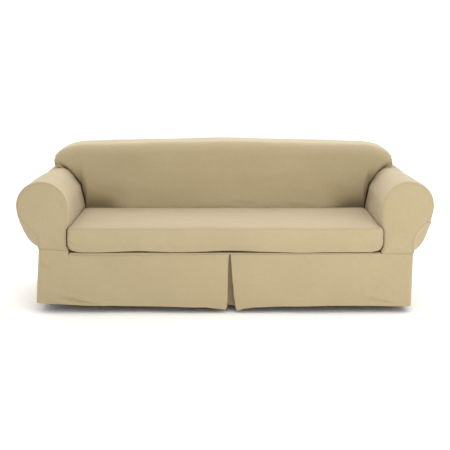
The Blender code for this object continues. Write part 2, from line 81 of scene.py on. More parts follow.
# The seam over the skirt, hitched up at the left arm, and the skirt
SEAM_Z, SEAM_WAVE = 0.2985, 0.0045
HITCH_FROM_X, HITCH_TO_X, HITCH_STEP, HITCH_SLOPE = 0.8090, 0.8105, 0.0225, 0.0085
HEM_Z, SKIRT_DROP_OUT, SKIRT_CORNER, SKIRT_WRAP = 0.026, 0.011, 0.028, 0.062
SKIRT_FLARE = {"left": 0.019, "right": -0.005}
FLOOR_Z = -0.0133        # the lowest tip of the hem hangs clear of the floor

# The back, from its foot behind the cushion to its crown and its two ears
INSIDE_FOOT_Y, INSIDE_LEAN, LEAN_FROM_Z, INSIDE_FOOT_Z = 0.150, 0.17, 0.44, 0.310
BACK_LOW, BACK_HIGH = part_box("inside_back")
CROWN_Z, EAR_REACH = BACK_HIGH[2], {"left": -BACK_LOW[0], "right": BACK_HIGH[0]}
CROWN_DROP, CROWN_CURVE, CORNER_X, CORNER_POWER = 0.0175, 1.2, 0.760, 0.87
EAR_Z, EAR_LOBE, UNDER_TIP = 0.697, 0.035, radians(100)
SEAT_END, WALL_END, TIP_START = 0.84, 1.15, 2.0      # where its foot leaves seat, wall, roll
TOP_EDGE, EAR_EDGE, BRIDGE, BRIDGE_REACH = 0.058, 0.046, 0.03, 0.14
CREVICE, CREVICE_REACH, CREVICE_FROM_Z = 0.065, 0.140, 0.43

# The seat: the deck, and the bench cushion on it
DECK_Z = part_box("deck")[1][2]
CUSHION_FRONT_Y, CUSHION_BASE_Z = -0.456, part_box("cushion_boxing")[0][2]
CUSHION_X, CUSHION_REAR_Y, CUSHION_SEAM_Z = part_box("cushion_boxing")[1]
CUSHION_CROWN, CUSHION_CORNER = 0.011, 0.034
BOXING_SWELL, BOXING_ROUND, TURN_UNDER = 0.009, 0.010, (0.016, 0.024, 0.032)

# How the cloth is laid
ROUND_TURNS = 5          # steps round a rounded end
CALM_REACH = 0.03        # this near to a seam the cloth lies still
MERGE = 0.00002          # points nearer than this become one
SIDES = ("left", "right")
SIGN = {"left": -1.0, "right": 1.0}

# The camera stands where the photograph was taken from. It looks down by 11.3 degrees
CAMERA_AT, CAMERA_DOWN, CAMERA_LENS = (0.0, -5.465, 1.4569), 11.3, 79.52

# The inverted pleat. down: share of the skirt's drop; left, right: edges of its two flaps
PLEAT = (
    # down, left, right
    (0.00, 0.0235, 0.0280),
    (0.08, 0.0180, 0.0300),
    (0.35, 0.0160, 0.0350),
    (0.70, 0.0150, 0.0440),
    (0.94, 0.0110, 0.0545),
    (1.00, 0.0030, 0.0610),
)
PLEAT_DEEP, PLEAT_TUCK, FOLD_REACH, RIPPLE = 0.075, 0.3, 0.03, 0.003
PLEAT_TURN, PLEAT_UNDER = (0.009, 0.015), (0.018, 0.052)    # behind the front: at seam, at hem

# Height of the front hem above its lowest tip, by place along the front
FRONT_HEM = (
    # x, height
    (-0.985, 0.041),
    (-0.900, 0.036),
    (-0.650, 0.027),
    (-0.390, 0.023),
    (-0.100, 0.019),
    (-0.045, 0.012),
    (0.003, 0.007),
    (0.061, 0.000),
    (0.105, 0.011),
    (0.160, 0.018),
    (0.300, 0.023),
    (0.550, 0.027),
    (0.970, 0.024),
)

# Listed folds: a soft ridge, or a trough where its height is below zero, along a line
BACK_FOLDS = (
    # from x, from z, to x, to z, width, height
    (0.03, 0.487, 0.17, 0.468, 0.010, 0.0030),
    (0.04, 0.470, 0.18, 0.455, 0.009, -0.0030),
    (0.30, 0.470, 0.52, 0.458, 0.010, 0.0026),
    (0.31, 0.455, 0.50, 0.445, 0.009, -0.0026),
    (0.12, 0.765, 0.62, 0.752, 0.014, -0.0016),
    (0.16, 0.742, 0.55, 0.735, 0.014, 0.0012),
    (-0.52, 0.700, 0.10, 0.708, 0.020, 0.0014),
    (-0.79, 0.640, -0.45, 0.560, 0.030, 0.0026),
    (-0.80, 0.575, -0.55, 0.500, 0.024, -0.0026),
    (0.79, 0.640, 0.48, 0.570, 0.030, 0.0024),
    (0.80, 0.575, 0.58, 0.505, 0.024, -0.0024),
    (-0.30, 0.610, 0.36, 0.618, 0.030, 0.0012),
)
SEAT_FOLDS = (
    # from x, from y, to x, to y, width, height
    (0.33, -0.230, 0.52, -0.200, 0.016, 0.0022),
    (0.38, -0.270, 0.60, -0.250, 0.014, -0.0018),
    (0.46, -0.180, 0.66, -0.160, 0.014, 0.0018),
    (-0.70, -0.300, -0.52, -0.220, 0.020, 0.0022),
    (-0.20, 0.060, 0.35, 0.075, 0.018, -0.0020),
    (-0.76, -0.410, -0.62, -0.360, 0.014, -0.0020),
    (0.76, -0.400, 0.64, -0.350, 0.014, -0.0020),
    (-0.30, -0.425, 0.30, -0.418, 0.012, 0.0012),
)
BOXING_FOLDS = (
    # from x, from z, to x, to z, width, height
    (-0.800, 0.375, -0.740, 0.350, 0.007, 0.0030),
    (-0.800, 0.355, -0.745, 0.336, 0.006, -0.0030),
    (-0.795, 0.338, -0.700, 0.330, 0.006, 0.0026),
    (-0.780, 0.412, -0.700, 0.395, 0.010, 0.0016),
    (0.800, 0.372, 0.745, 0.350, 0.007, 0.0026),
    (0.795, 0.345, 0.720, 0.332, 0.006, -0.0026),
    (-0.250, 0.352, 0.220, 0.346, 0.012, 0.0016),
    (0.300, 0.395, 0.560, 0.402, 0.014, 0.0012),
)
SKIRT_FOLDS = (
    # from x, from z, to x, to z, width, height
    (-0.900, 0.098, -0.640, 0.038, 0.012, 0.0095),
    (-0.870, 0.074, -0.660, 0.030, 0.010, -0.0070),
    (-0.940, 0.070, -0.800, 0.036, 0.010, 0.0075),
    (-0.980, 0.262, -0.890, 0.238, 0.010, 0.0060),
    (-0.975, 0.245, -0.895, 0.222, 0.010, -0.0050),
    (-0.960, 0.290, -0.860, 0.175, 0.022, 0.0022),
    (-0.700, 0.120, -0.480, 0.050, 0.026, 0.0022),
    (0.160, 0.250, 0.110, 0.060, 0.030, 0.0022),
    (-0.130, 0.250, -0.060, 0.060, 0.030, 0.0022),
    (0.900, 0.250, 0.860, 0.070, 0.030, 0.0020),
    (0.480, 0.200, 0.440, 0.050, 0.034, 0.0018),
    (0.680, 0.090, 0.920, 0.045, 0.012, 0.0060),
    (0.700, 0.070, 0.880, 0.036, 0.010, -0.0040),
)


# ---------------- numbers and curves

def lerp(a, b, t):
    return a + (b - a) * t


def smooth(t):
    """0 to 1 with a soft start and end, for a number or an array."""
    t = np.clip(t, 0.0, 1.0)
    return t * t * (3.0 - 2.0 * t)


def ramp_up(value, start, run):
    """0 up to the start, and 1 from one run past it."""
    return smooth((value - start) / run)


def ramp_down(value, end, run):
    """1 up to one run before the end, and 0 past it."""
    return smooth((end - value) / run)


def hump(value, at, width):
    return np.exp(-(((value - at) / width) ** 2))


def steps(start, end, count):
    return [lerp(start, end, i / count) for i in range(count + 1)]


def read_table(table, key, column):
    """A table's column at a key between its rows, joined by smooth steps."""
    if key <= table[0][0]:
        return table[0][column]
    for low, high in zip(table, table[1:]):
        if key <= high[0]:
            return lerp(low[column], high[column], ramp_up(key, low[0], high[0] - low[0]))
    return table[-1][column]


def hermite(start, end, start_pull, end_pull, t):
    """A curve in X and Z that leaves start and reaches end along the two pulls."""
    a = 2 * t ** 3 - 3 * t ** 2 + 1
    b = t ** 3 - 2 * t ** 2 + t
    c = 3 * t ** 2 - 2 * t ** 3
    d = t ** 3 - t ** 2
    return tuple(a * start[i] + b * start_pull[i] + c * end[i] + d * end_pull[i] for i in (0, 1))


def round_end(radius, count):
    """(distance from the end, inset) down a quarter circle, from the end inwards."""
    return [(radius * (1 - cos(a)), radius * (1 - sin(a))) for a in steps(0.0, pi / 2, count)]


def stations(start_y, end_y, start_round, end_round, count):
    """(y, inset) along a piece whose two ends are rounded over."""
    front = [(start_y + run, inset) for run, inset in round_end(start_round, ROUND_TURNS)]
    rear = [(end_y - run, inset) for run, inset in round_end(end_round, ROUND_TURNS)]
    middle = steps(start_y + start_round, end_y - end_round, count)[1:-1]
    return front + [(y, 0.0) for y in middle] + rear[::-1]


# ---------------- laying cloth

def folds(table, a, b):
    """Height that a table of ridges and troughs gives at the places a, b."""
    fade, least = 0.35, 0.15
    height = np.zeros_like(a)
    for from_a, from_b, to_a, to_b, width, rise in table:
        run_a, run_b = to_a - from_a, to_b - from_b
        length = hypot(run_a, run_b)
        share = np.clip(((a - from_a) * run_a + (b - from_b) * run_b) / length ** 2, 0, 1)
        apart = np.hypot(a - from_a - share * run_a, b - from_b - share * run_b)
        ends = smooth(share / fade) * smooth((1 - share) / fade)
        height += rise * hump(apart, 0.0, width) * lerp(least, 1.0, ends)
    return height


def slack(points, size, seed):
    """Soft unevenness, about -1 to 1, whose swells are about one size across."""
    flat = points.reshape(-1, 3) / size + np.array([seed * 7.31, seed * 3.17, seed * 5.71])
    return np.array([noise.noise(Vector(p)) for p in flat]).reshape(points.shape[:2]) * 2


def swells(points, *rows):
    """Unevenness of one piece of cloth, each row of it (height, size across, seed)."""
    return sum(height * slack(points, size, seed) for height, size, seed in rows)


def puckers(along, apart, rise=0.0007):
    """The small puckers that a row of stitches draws up beside a seam."""
    pitch, reach = 0.021, 0.009
    uneven = np.sin(along * 2 * pi / pitch + 2.2 * np.sin(along * 17.0))
    return rise * uneven * (apart / reach) * np.exp(1 - apart / reach)


def loose(apart):
    """0 at a seam and 1 further in, so that neighbouring pieces still meet."""
    return smooth(apart / CALM_REACH)


def loose_inside(run):
    """0 at both ends of each row of running lengths, 1 further in."""
    return loose(np.minimum(run, run[:, -1:] - run))


def loose_all_round(along, down):
    return loose_inside(along) * loose_inside(down.T).T


def lengths(points, axis):
    """How far each point lies along its row (axis 1) or its column (axis 0)."""
    runs = np.linalg.norm(np.diff(points, axis=axis), axis=2)
    start = np.zeros_like(runs[:, :1] if axis else runs[:1])
    return np.concatenate([start, np.cumsum(runs, axis=axis)], axis=axis)


def flat_grain(rows, a, b):
    """Each point's place on the flat cloth, where the cloth faces along the third axis."""
    return [[(p[a], p[b]) for p in row] for row in rows]


def wound_grain(rows, index):
    """The same for a strip that runs round corners, measured along one of its rows."""
    around = lengths(np.array([rows[index]]), 1)[0]
    return [[(u, p[2]) for u, p in zip(around, row)] for row in rows]


def outward(points, flip, loop):
    """The way that each point of a grid faces."""
    across, down = np.gradient(points, axis=1), np.gradient(points, axis=0)
    if loop:
        across[:, 0] = across[:, -1] = (points[:, 1] - points[:, -2]) / 2
    facing = np.cross(across, down)
    size = np.linalg.norm(facing, axis=2, keepdims=True)
    facing = facing / np.maximum(size, 1e-12)
    for r, c in zip(*np.nonzero(size[:, :, 0] < 1e-10)):
        near = facing[max(r - 1, 0):r + 2, max(c - 2, 0):c + 3].reshape(-1, 3).sum(axis=0)
        facing[r, c] = near / max(np.linalg.norm(near), 1e-9)
    return -facing if flip else facing


def tuck(layers, edge, depth, spread):
    """Turns one edge of a grid back behind the cloth, as its seam allowance. The spread lets it
    lie outwards, under the neighbouring piece. The layers are the grid's points, the ways that
    they face, their grain and their distance from the hem."""
    axis, first = (0 if edge.endswith("row") else 1), edge.startswith("first")
    line, face, weave, hem = (np.take(layer, [0 if first else -1], axis) for layer in layers)
    out = line - np.take(layers[0], [2 if first else -3], axis)
    out = out * spread / np.maximum(np.linalg.norm(out, axis=2, keepdims=True), 1e-9)
    turned = [(line + (out - face * depth) * share, face, weave + depth * share, hem)
              for share in (0.2, 1.0)]
    return [np.concatenate(parts[::-1] if first else parts, axis)
            for parts in zip(layers, *turned)]


def lay_cloth(name, node, rows, grain, relief, slot="cotton_duck",
              flip=False, loop=False, tucks=(), tuck_depth=0.009, spread=0.0, hem=None):
    """Lays a piece of cloth through rows of points, and puts it in its node's place. grain is
    each point's place on the flat cloth; relief gives the height of its folds from (points,
    along, down); hem is each point's distance from a stitched hem."""
    settings = bpy.context.scene.slipcover_cloth
    points = np.array([[tuple(p) for p in row] for row in rows], dtype=float)
    grain = np.array(grain, dtype=float)
    if loop:
        points = np.concatenate([points, points[:, :1]], axis=1)
        grain = np.concatenate([grain, 2 * grain[:, -1:] - grain[:, -2:-1]], axis=1)
    facing = outward(points, flip, loop)
    height = relief(points, lengths(points, 1), lengths(points, 0))
    if loop:
        height[:, -1] = height[:, 0]
    pole = np.ptp(points[-1], axis=0).max() == 0.0
    points = points + facing * (height * settings.fold_depth)[:, :, None]
    if pole:
        points[-1] = points[-1].mean(axis=0)
    layers = points, facing, grain, np.ones(points.shape[:2]) if hem is None else hem
    for edge in tucks:
        layers = tuck(layers, edge, tuck_depth, spread)
    points, facing, grain, hem = layers

    tall, wide = points.shape[:2]
    faces = [(here, here + 1, here + 1 + wide, here + wide)[::-1 if flip else 1]
             for r in range(tall - 1) for here in range(r * wide, r * wide + wide - 1)]
    mesh = bpy.data.meshes.new(name)
    mesh.from_pydata(points.reshape(-1, 3).tolist(), [], faces)
    weave = mesh.uv_layers.new(name="weave")
    corners = np.empty(len(mesh.loops), dtype=int)
    mesh.loops.foreach_get("vertex_index", corners)
    weave.data.foreach_set("uv", grain.reshape(-1, 2)[corners].ravel())
    mesh.attributes.new("hem", "FLOAT", "POINT").data.foreach_set("value", hem.ravel())

    shaped = bmesh.new()
    shaped.from_mesh(mesh)
    bmesh.ops.remove_doubles(shaped, verts=shaped.verts, dist=MERGE)
    bmesh.ops.dissolve_degenerate(shaped, edges=shaped.edges, dist=MERGE)
    shaped.to_mesh(mesh)
    shaped.free()
    mesh.materials.append(finish(slot))
    mesh.shade_smooth()
    piece = bpy.data.objects.new(name, mesh)
    bpy.context.scene.collection.objects.link(piece)
    wall = piece.modifiers.new("cloth", "SOLIDIFY")
    wall.thickness = settings.thickness
    wall.offset = -1.0
    bpy.context.view_layer.objects.active = piece
    bpy.ops.object.select_all(action="DESELECT")
    piece.select_set(True)
    bpy.ops.object.modifier_apply(modifier=wall.name)
    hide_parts(node)
    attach(piece, "root")


# ---------------- the form under the cloth

def seam_z(x, y):
    """Height of the seam that the skirt hangs from; it is hitched up at the left arm's front."""
    front = ((REAR_Y - y) / (REAR_Y - FRONT_Y)) ** 2
    wave = SEAM_WAVE * (smooth(x + 0.1) - hump(x, -0.6, 0.25))
    step = min(max((-x - HITCH_FROM_X) / (HITCH_TO_X - HITCH_FROM_X), 0.0), 1.0)
    slope = max(0.0, (-x - HITCH_TO_X) / (FOOT_X["left"] - HITCH_TO_X))
    return SEAM_Z + front * (wave + HITCH_STEP * step + HITCH_SLOPE * slope)


def press(y, z, side):
    """How far the cushion's front end pushes sideways against the arm, unevenly."""
    front = 1.0 - ramp_up(y, FRONT_Y + 0.01, 0.12)
    high = (ramp_up(z, PRESS_FROM_Z, PRESS_EASE)
            * (1.0 - ramp_up(z, PRESS_TO_Z, PRESS_EASE)))
    uneven = 1.0 + 0.07 * sin(z * 150.0 + {"left": 1.0, "right": 2.6}[side])
    return PRESS * front * high * uneven


def keyhole(y):
    """1 at the facing, where the arm's outside follows its keyhole shape, 0 further back."""
    return 1.0 - ramp_up(y, FRONT_Y, KEYHOLE_DEPTH)


def shoulder(y, angle):
    """How much flatter the roll is on its inner side: nothing in front, most at the back."""
    at, width = radians(155), radians(38)
    return SHOULDER * float(hump(angle, at, width)) * min((y - FRONT_Y) / TAPER_RUN, 1.0)


def lean(y, z):
    """How far the inner wall leans away from the seat below the roll, to meet its shoulder."""
    return shoulder(y, pi) * float(ramp_up(z, SHOULDER_FOOT_Z, ROLL_Z - SHOULDER_FOOT_Z))


def roll_radius(y, angle):
    """The roll's radius; angle is 0 at its outer side, a quarter turn at its top."""
    taper = ROLL_TAPER * min((y - FRONT_Y) / TAPER_RUN, 1.0) * smooth((pi - angle) / radians(70))
    swell = ROLL_SWELL * max(0.0, cos(angle)) ** 2 * (1.0 - keyhole(y))
    return ROLL_R - taper + swell - shoulder(y, angle)


def on_roll(radius, angle):
    return ROLL_X + radius * cos(angle), ROLL_Z + radius * sin(angle)


def facing_neck(t, foot):
    """The facing's outer edge below the roll: its head, the hollow under it, the upright."""
    head, hollow, pull = 0.45, 0.78, 0.08
    if t < head:
        return on_roll(ROLL_R, KEYHOLE_TURN * t / head)
    neck = (foot[0], NECK_Z)
    if t < hollow:
        leave = (sin(KEYHOLE_TURN) * pull, -cos(KEYHOLE_TURN) * pull)
        share = (t - head) / (hollow - head)
        return hermite(on_roll(ROLL_R, KEYHOLE_TURN), neck, leave, (0, -pull), share)
    return foot[0], lerp(NECK_Z, foot[1], (t - hollow) / (1 - hollow))


def arm_outline(along, y, side):
    """(x, z) of the arm's outside, for the right arm: along runs 0 to 1 up the inner wall,
    1 to 2 over the roll and 2 to 3 down the outside."""
    if along <= 1:
        seam = seam_z(SIGN[side] * (ARM_IN_X + EDGE_ROUND), y) + SEAM_GAP
        foot = lerp(seam, DECK_Z - 0.002, ramp_up(y, FRONT_Y + EDGE_ROUND, 0.03))
        z = lerp(foot, ROLL_Z, along)
        return ARM_IN_X + press(y, z, side) + lean(y, z), z
    if along <= 2:
        angle = pi * (2 - along)
        return on_roll(roll_radius(y, angle), angle)
    foot = (FOOT_X[side], seam_z(SIGN[side] * FOOT_X[side], y) + SEAM_GAP)
    hang = hermite(on_roll(roll_radius(y, 0.0), 0.0), foot, HANG_PULL, FOOT_PULL, along - 2)
    neck = facing_neck(along - 2, foot)
    return lerp(hang[0], neck[0], keyhole(y)), lerp(hang[1], neck[1], keyhole(y))


def arm_point(along, y, inset, side):
    """A point on the arm, moved inwards from its outline by the inset; level at the foot."""
    tick, top = 0.002, 1.0 if along <= 1 else 3.0
    x, z = arm_outline(along, y, side)
    before = arm_outline(max(along - tick, 0.0), y, side)
    after = arm_outline(min(along + tick, top), y, side)
    run, rise = after[0] - before[0], after[1] - before[1]
    if along <= 0.0 or along >= 3.0:
        run, rise = 0.0, 1.0 if along <= 0.0 else -1.0
    length = hypot(run, rise)
    return (SIGN[side] * (x + inset * rise / length), y, z - inset * run / length)


def inside_y(z):
    """The inside back's plane: upright behind the cushion, leaning back above it."""
    return INSIDE_FOOT_Y + INSIDE_LEAN * max(0.0, z - LEAN_FROM_Z)


def ear_droop(side):
    """The angle that the lobe under an ear turns through before it meets the roll."""
    away_x, away_z = EAR_REACH[side] - EAR_LOBE - ROLL_X, EAR_Z - ROLL_Z
    apart, touching = hypot(away_x, away_z), ROLL_R - ROLL_TAPER + CONTACT_GAP
    corner = acos((apart ** 2 + EAR_LOBE ** 2 - touching ** 2) / (2 * apart * EAR_LOBE))
    return -atan2(-away_z, -away_x) - corner


def arm_clear(side):
    """The place on the arm's outline where its roll comes out from under the ear."""
    foot_x = EAR_REACH[side] - EAR_LOBE + EAR_LOBE * cos(ear_droop(side))
    return 2 - (pi / 2 - (foot_x + 0.010 - ROLL_X) / (ROLL_R - ROLL_TAPER)) / pi


def back_outline(along, side, inset=0.0):
    """(x, z) of the back's front view, right half: 0 to 1 along the top from the middle,
    1 to 2 round the corner and 2 to 3 under the ear's tip."""
    reach, droop = EAR_REACH[side], ear_droop(side)
    if along <= 1:
        x = CORNER_X * along
        return x, CROWN_Z - CROWN_DROP * (x / CORNER_X) ** CROWN_CURVE - inset
    if along <= 2:
        angle = min((along - 1) * pi / 2, pi / 2 - 0.00001)
        wide, high = reach - CORNER_X - inset, CROWN_Z - CROWN_DROP - EAR_Z - inset
        return (CORNER_X + wide * sin(angle) ** CORNER_POWER,
                EAR_Z + high * cos(angle) ** CORNER_POWER)
    angle = -droop * (along - 2)
    small = EAR_LOBE - inset
    return reach - EAR_LOBE + small * cos(angle), EAR_Z + small * sin(angle)


def bridge(along):
    """How far the inside back's lower edge comes forward along the arm, bridging the corner."""
    cushion, clear = 1.03, 2.3
    return BRIDGE * sin(pi * min(max((along - cushion) / (clear - cushion), 0.0), 1.0))


def crevice(along, above_foot, z):
    """How deep the back dives in at its foot, beside the arms and at the seat's rear corners."""
    near = max(0.0, min(above_foot, z - CREVICE_FROM_Z))
    dive = (1 - min(near / CREVICE_REACH, 1.0)) ** 2
    corners = ramp_up(along, 0.60, 0.22) * (1 - ramp_up(along, 1.9, 0.5))
    return CREVICE * dive * corners * ramp_up(z, 0.34, 0.08)


def back_foot(along, side):
    """(x, z) of the inside back's lower edge, right half, under the outline's same place."""
    inner = ARM_IN_X - CONTACT_GAP
    if along <= SEAT_END:
        return inner * along / SEAT_END, INSIDE_FOOT_Z
    if along <= WALL_END:
        z = lerp(INSIDE_FOOT_Z, ROLL_Z, (along - SEAT_END) / (WALL_END - SEAT_END))
        return inner + lean(inside_y(z), z), z
    end_x, end_z = back_outline(3.0, side)
    if along >= 3:
        return end_x, end_z
    if along <= TIP_START:
        angle = lerp(pi, UNDER_TIP, (along - WALL_END) / (TIP_START - WALL_END))
    else:
        angle = lerp(UNDER_TIP, atan2(end_z - ROLL_Z, end_x - ROLL_X), along - TIP_START)
    rest_y = inside_y(ROLL_Z + ROLL_R * sin(angle)) - bridge(along)
    return on_roll(roll_radius(rest_y, angle) + CONTACT_GAP, angle)


# ---------------- arms

WALL = steps(0.0, 0.2, 10) + steps(0.2, 1.0, 16)[1:]
ROLL = steps(1.0, 2.0, 44)
HANG = steps(2.0, 3.0, 30)


def lay_arm_top(side):
    """Inside arm and roll in one. Its inner part stops at the inside back."""
    rows, grain = [], []
    alongs = WALL + ROLL[1:] + [a for a in HANG[1:] if a < ARM_SEAM] + [ARM_SEAM]
    for along in alongs:
        height = arm_outline(along, INSIDE_FOOT_Y, side)[1]
        to_rear = smooth(1 + (along - arm_clear(side)) / 0.25)
        end_y = lerp(inside_y(height) + CREVICE, REAR_Y, to_rear)
        row = stations(FRONT_Y, end_y, EDGE_ROUND, REAR_ROUND if to_rear > 0.99 else 0.0, 62)
        rows.append([arm_point(along, y, inset, side) for y, inset in row])
        grain.append([(y, along * 0.3) for y, inset in row])

    def relief(points, along, down):
        y, z = np.moveaxis(points, 2, 0)[1:]
        soft = swells(points, (0.0024, 0.22, 1), (0.0009, 0.07, 2))
        rear = ramp_up(y, -0.12, 0.3)
        drag = 0.0030 * np.sin((y * 0.6 + z) * 34.0) * rear * hump(z, 0.55, 0.09)
        under = puckers(along, down[-1:] - down, rise=0.0005) * loose(along)
        return loose_all_round(along, down) * (soft + drag) + puckers(down, along) + under

    lay_cloth("inner_arm_" + side, "arm_top_" + side, rows, grain, relief,
              flip=side == "right",
              tucks=("last row", "last column"))


def lay_outside_arm(side):
    """The panel that hangs from under the roll to the skirt's seam."""
    row = stations(FRONT_Y, REAR_Y, EDGE_ROUND, REAR_ROUND, 76)
    alongs = [ARM_SEAM + 0.006] + [a for a in HANG if a > ARM_SEAM + 0.012]
    rows = [[arm_point(along, y, inset, side) for y, inset in row] for along in alongs]
    grain = [[(y, along * 0.27) for y, inset in row] for along in alongs]

    def relief(points, along, down):
        y, z = np.moveaxis(points, 2, 0)[1:]
        soft = swells(points, (0.0028, 0.2, 3 + SIGN[side]))
        sag = 0.0035 * np.sin(y * 21.0 + z * 14.0) * hump(z, 0.38, 0.06)
        return loose_all_round(along, down) * (soft + sag) + puckers(down, along)

    lay_cloth("outer_arm_" + side, "outside_arm_" + side, rows, grain, relief,
              flip=side == "right",
              tucks=("last column", "first row", "last row"))


def facing_heart(point, middle, side):
    """The place further in that a line of the facing's cloth runs to from a point of its edge.
    The heart leaves out the dent that the cushion presses into the edge."""
    x, y, z = point
    if abs(x) < ROLL_X - 0.08:
        x -= SIGN[side] * press(FRONT_Y, z, side)
    low = (middle.z - z) / (middle.z - SEAM_Z)
    heart_z = lerp(middle.z, HEART_Z, low) if low > 0 else lerp(middle.z, z, HEART)
    return Vector((lerp(middle.x, x, HEART), y, heart_z))


def lay_facing(side):
    """The keyhole facing, slightly crowned. Its rings run from the edge to the heart and from
    there to one point in the middle of its head."""
    inset = EDGE_ROUND + SEAM_GAP
    edge = [Vector(arm_point(along, FRONT_Y, inset, side))
            for along in WALL[:-1] + ROLL[:-1] + HANG]
    foot_in, foot_out = edge[0], edge[-1]
    edge += [foot_out.lerp(foot_in, t) for t in steps(0.0, 1.0, 16)[1:-1]]
    middle = Vector((SIGN[side] * (ROLL_X - 0.012), FRONT_Y, ROLL_Z - 0.03))
    hearts = [facing_heart(point, middle, side) for point in edge]
    rings = []
    for share in [1.0, 0.985, 0.96] + steps(0.92, 0.0, 23):
        crown = Vector((0, -FACING_CROWN * sqrt(1 - share ** 2), 0))
        outer, inner = (share - HEART) / (1 - HEART), share / HEART
        ring = [heart.lerp(point, outer) if outer > 0 else middle.lerp(heart, inner)
                for heart, point in zip(hearts, edge)]
        rings.append([point + crown for point in ring])

    def relief(points, along, down):
        x, z = np.moveaxis(points, 2, 0)[::2]
        sag = 0.0018 * hump(z, 0.41, 0.05) * hump(np.abs(x), 0.93, 0.07)
        soft = swells(points, (0.0022, 0.16, 5 + SIGN[side]), (0.0007, 0.05, 7))
        return loose(down) * (soft - sag) + puckers(along, down)

    lay_cloth("arm_facing_" + side, "arm_front_" + side, rings, flat_grain(rings, 0, 2), relief,
              flip=side == "right", loop=True,
              tucks=("first row",), tuck_depth=0.012, spread=0.011)


# ---------------- back

def back_alongs():
    """The places round the back's outline where its columns stand."""
    seat, wall = steps(0.0, SEAT_END, 62), steps(SEAT_END, WALL_END, 18)
    corner, lobe = steps(WALL_END, TIP_START, 46), steps(TIP_START, 3.0, 14)
    return seat + wall[1:] + corner[1:] + lobe[1:]


def back_columns(side):
    """The columns of one half of the back's cloth, from its foot over the crown to the rear
    seam, and each point's place on the flat cloth."""
    sign = SIGN[side]
    columns, weave = [], []
    round_top, before = 0.0, back_outline(0.0, side)
    for along in back_alongs():
        top, foot = back_outline(along, side), back_foot(along, side)
        round_top += hypot(top[0] - before[0], top[1] - before[1])
        before = top
        length = hypot(top[0] - foot[0], top[1] - foot[1]) + 0.00001
        radius = min(lerp(TOP_EDGE, EAR_EDGE, smooth(along - 1)), length * 0.75)
        column = [(share * (length - radius) / length, 0.0) for share in steps(0, 1, 40)[:-1]]
        column += [(1 - inset / length, run) for run, inset in round_end(radius, 10)]
        points, cloth = [], []
        for reach, recede in column:
            x, z = lerp(foot[0], top[0], reach), lerp(foot[1], top[1], reach)
            above = reach * length
            forward = bridge(along) * (1 - smooth(above / BRIDGE_REACH))
            y = inside_y(z) + recede - forward + crevice(along, above, z)
            points.append((sign * x, y, z))
            cloth.append((sign * lerp(x, round_top, smooth(recede / 0.05)), z + recede))
        edge_y, edge_v = points[-1][1], cloth[-1][1]
        for y, inset in stations(edge_y, REAR_Y, 0.0, REAR_ROUND, 16)[ROUND_TURNS + 1:]:
            x, z = back_outline(along, side, inset)
            points.append((sign * x, y, z))
            cloth.append((sign * round_top, edge_v + y - edge_y))
        columns.append(points)
        weave.append(cloth)
    return columns, weave


def lay_inside_back():
    """Front of the back, its crown and both ears, as far as the seam to the rear panel."""
    rows, grain = (left[:0:-1] + right
                   for left, right in zip(back_columns("left"), back_columns("right")))
    place = np.array(back_alongs()[:0:-1] + back_alongs())[:, None]

    def relief(points, along, down):
        x, y, z = np.moveaxis(points, 2, 0)
        soft = swells(points, (0.0026, 0.34, 8), (0.0012, 0.11, 9))
        level = swells(points * np.array([0.35, 1.0, 1.9]), (0.0008, 0.10, 10))
        front = ramp_down(y, 0.235, 0.03)
        gathered = hump(place, 2.25, 0.42) * hump(y, 0.235, 0.06)
        gathers = 0.0055 * gathered * np.sin(place * 46.0 + 1.5 * np.sin(place * 9.0))
        crown_seam = puckers(down, along[:, -1:] - along)
        creased = soft + level + front * folds(BACK_FOLDS, x, z)
        return loose_inside(along) * creased + gathers + crown_seam

    lay_cloth("back_cover", "inside_back", rows, grain, relief,
              flip=True, tucks=("first column", "last column"),
              tuck_depth=0.012)


def rear_outline(side):
    """The rear panel's edge, from the middle of the top down to the foot of one arm, and for
    each of its points the place further in that a line of the cloth runs to from there. Such
    lines never cross, though the edge turns in sharply between the ear and the roll."""
    inset, under_ear, sign, inner = REAR_ROUND + SEAM_GAP, 3.12, SIGN[side], 0.70
    edge, heart = [], []
    for along in back_alongs()[:-1] + [under_ear]:
        x, z = back_outline(along, side, inset)
        edge.append((sign * x, REAR_Y, z))
        heart.append((sign * min(0.8 * x, inner), REAR_Y, 0.66))
    clear = arm_clear(side)
    edge.append(arm_point(clear, REAR_Y, inset + CONTACT_GAP, side))
    heart.append((sign * inner, REAR_Y, 0.58))
    arm = [a for a in ROLL if a > clear + 0.01] + HANG[1:]
    for i, along in enumerate(arm):
        edge.append(arm_point(along, REAR_Y, inset, side))
        heart.append((sign * inner, REAR_Y, lerp(0.50, HEART_Z, i / (len(arm) - 1))))
    return edge, heart


def lay_rear_panel():
    """The plain rear panel over the back and both arms' rear ends."""
    loops = []
    for left, right in zip(rear_outline("left"), rear_outline("right")):
        foot = [Vector(right[-1]).lerp(Vector(left[-1]), t) for t in steps(0, 1, 150)[1:-1]]
        loops.append([Vector(p) for p in left[::-1] + right[1:]] + foot)
    edge, heart = loops
    middle = Vector((0.0, REAR_Y, 0.5))
    rings = [[p.lerp(q, share) for p, q in zip(heart, edge)]
             for share in [1.0, 0.98, 0.95] + steps(0.9, 0.0, 12)]
    rings += [[middle.lerp(p, share) for p in heart] for share in steps(1.0, 0.0, 16)[1:]]

    def relief(points, along, down):
        x, z = np.moveaxis(points, 2, 0)[::2]
        hang = 0.0022 * np.sin(x * 13.0 + 1.6 * np.sin(x * 4.1)) * ramp_down(z, 0.72, 0.35)
        proud = 0.002 + swells(points, (0.0022, 0.3, 12)) + hang
        return loose(down) * proud + puckers(along, down)

    lay_cloth("rear_panel", "outside_back", rings, flat_grain(rings, 0, 2), relief,
              flip=True, loop=True,
              tucks=("first row",))


# ---------------- seat

